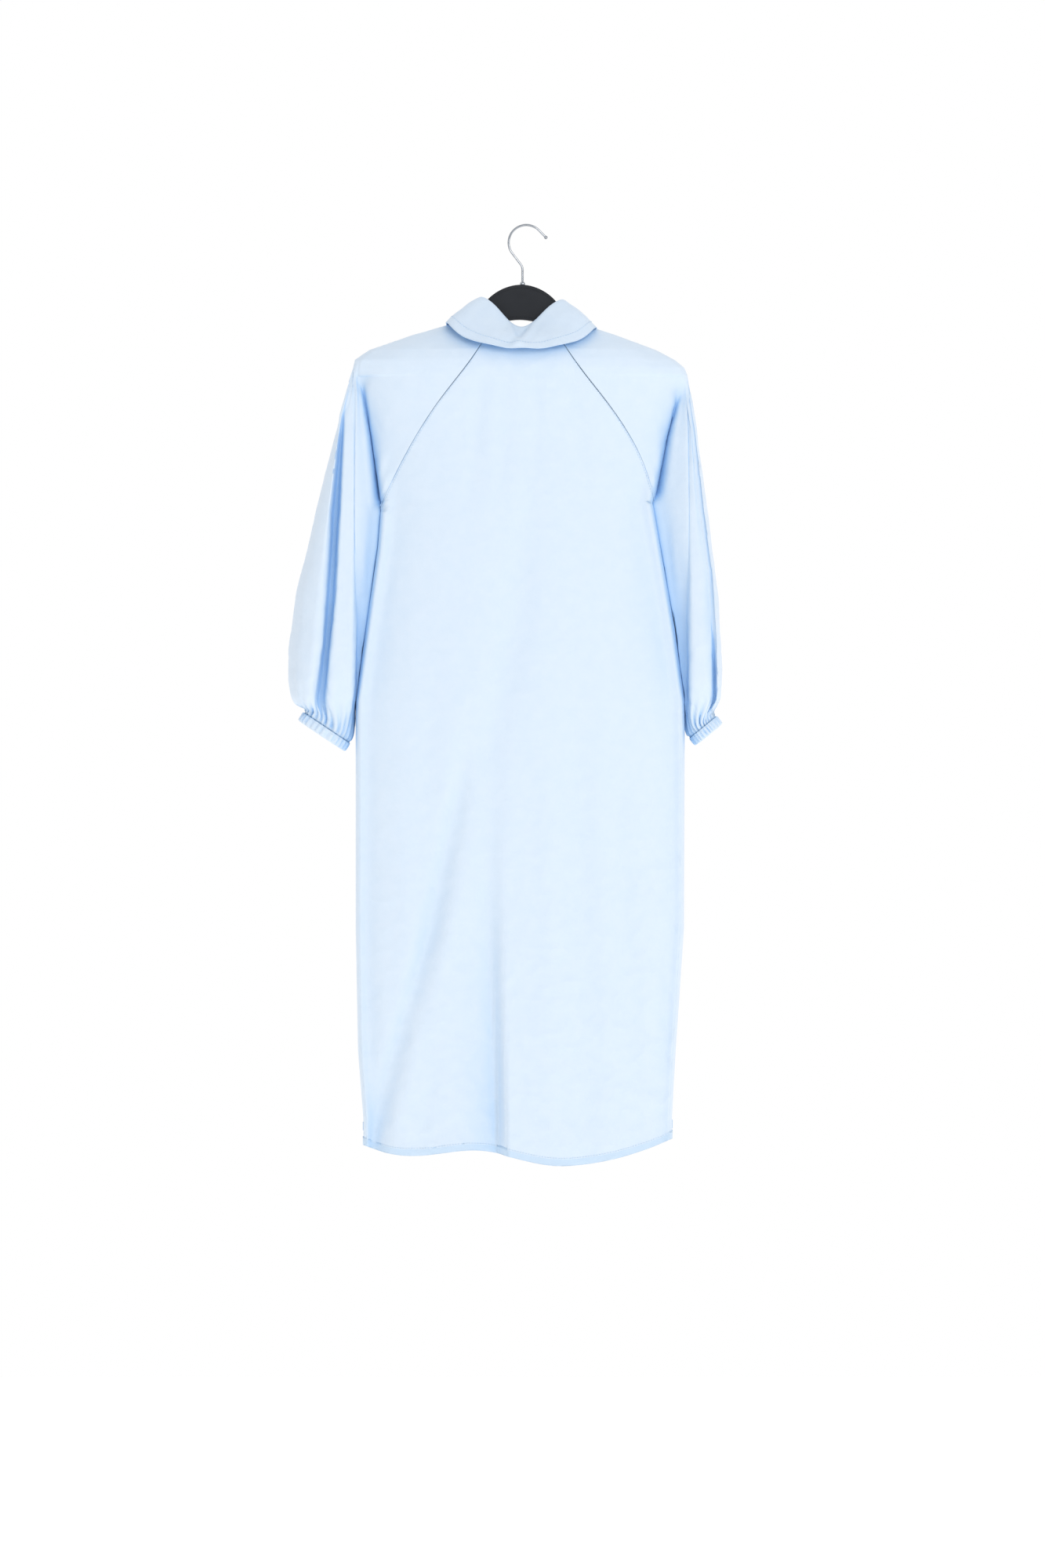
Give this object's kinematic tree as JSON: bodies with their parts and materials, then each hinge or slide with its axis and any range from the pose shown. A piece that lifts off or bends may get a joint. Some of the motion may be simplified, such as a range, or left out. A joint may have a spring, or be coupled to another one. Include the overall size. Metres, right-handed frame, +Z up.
{
  "type": "patient gown on hanger",
  "caption": "Loose patient gown with raglan elastic-cuffed sleeves, fold-down collar and snap front, hung on a swivel-hook clothes hanger.",
  "frame": {"origin": "on the swivel axis, at the middle of the hook's loop, where the rail goes", "axes": "+Z up along the swivel axis, +Y out of the gown's front, +X towards the wearer's right"},
  "size_m": [0.568, 0.1465, 1.2342],
  "materials": {
    "gown_cotton": "matte",
    "hanger_plastic": "satin",
    "chrome_wire": "polished",
    "stud_plastic": "gloss",
    "elastic": "matte",
    "label_tape": "satin"
  },
  "bodies": {
    "hook": {"hook_wire": "chrome_wire", "hook_tip": "chrome_wire", "hook_retainer": "chrome_wire"},
    "gown": {"hanger": "hanger_plastic", "hook_ferrule": "chrome_wire", "back_panel": "gown_cotton", "left_sleeve_head": "gown_cotton", "right_sleeve_head": "gown_cotton", "left_front_panel": "gown_cotton", "right_front_yoke": "gown_cotton", "right_front_side": "gown_cotton", "right_front_band_top": "gown_cotton", "left_front_band": "gown_cotton", "collar_stand": "gown_cotton", "collar_fall": "gown_cotton", "neck_label": "label_tape", "stud_caps_top": "stud_plastic", "stud_sockets_top": "stud_plastic", "stud_balls": "stud_plastic", "stud_backs": "stud_plastic"},
    "front_flap": {"right_front_flap": "gown_cotton", "right_front_band_low": "gown_cotton", "stud_caps_low": "stud_plastic", "stud_sockets_low": "stud_plastic"},
    "left_arm": {"left_sleeve": "gown_cotton", "left_cuff_casing": "gown_cotton", "left_cuff_elastic": "elastic"},
    "right_arm": {"right_sleeve": "gown_cotton", "right_cuff_casing": "gown_cotton", "right_cuff_elastic": "elastic"}
  },
  "joints": [
    {"name": "hook_swivel", "type": "hinge", "parent": "hook", "child": "gown", "pos_m": [0, 0, -0.06], "axis": [0, 0, 1], "continuous": true},
    {"name": "left_sleeve_lift", "type": "hinge", "parent": "gown", "child": "left_arm", "pos_m": [-0.219, 0, -0.16], "axis": [0, 1, 0], "range_deg": [0, 60]},
    {"name": "right_sleeve_lift", "type": "hinge", "parent": "gown", "child": "right_arm", "pos_m": [0.216, 0, -0.172], "axis": [0, -1, 0], "range_deg": [0, 60]},
    {"name": "front_opening", "type": "hinge", "parent": "gown", "child": "front_flap", "pos_m": [0.13, 0.054, -0.8], "axis": [0, 0, -1], "range_deg": [0, 120]}
  ]
}
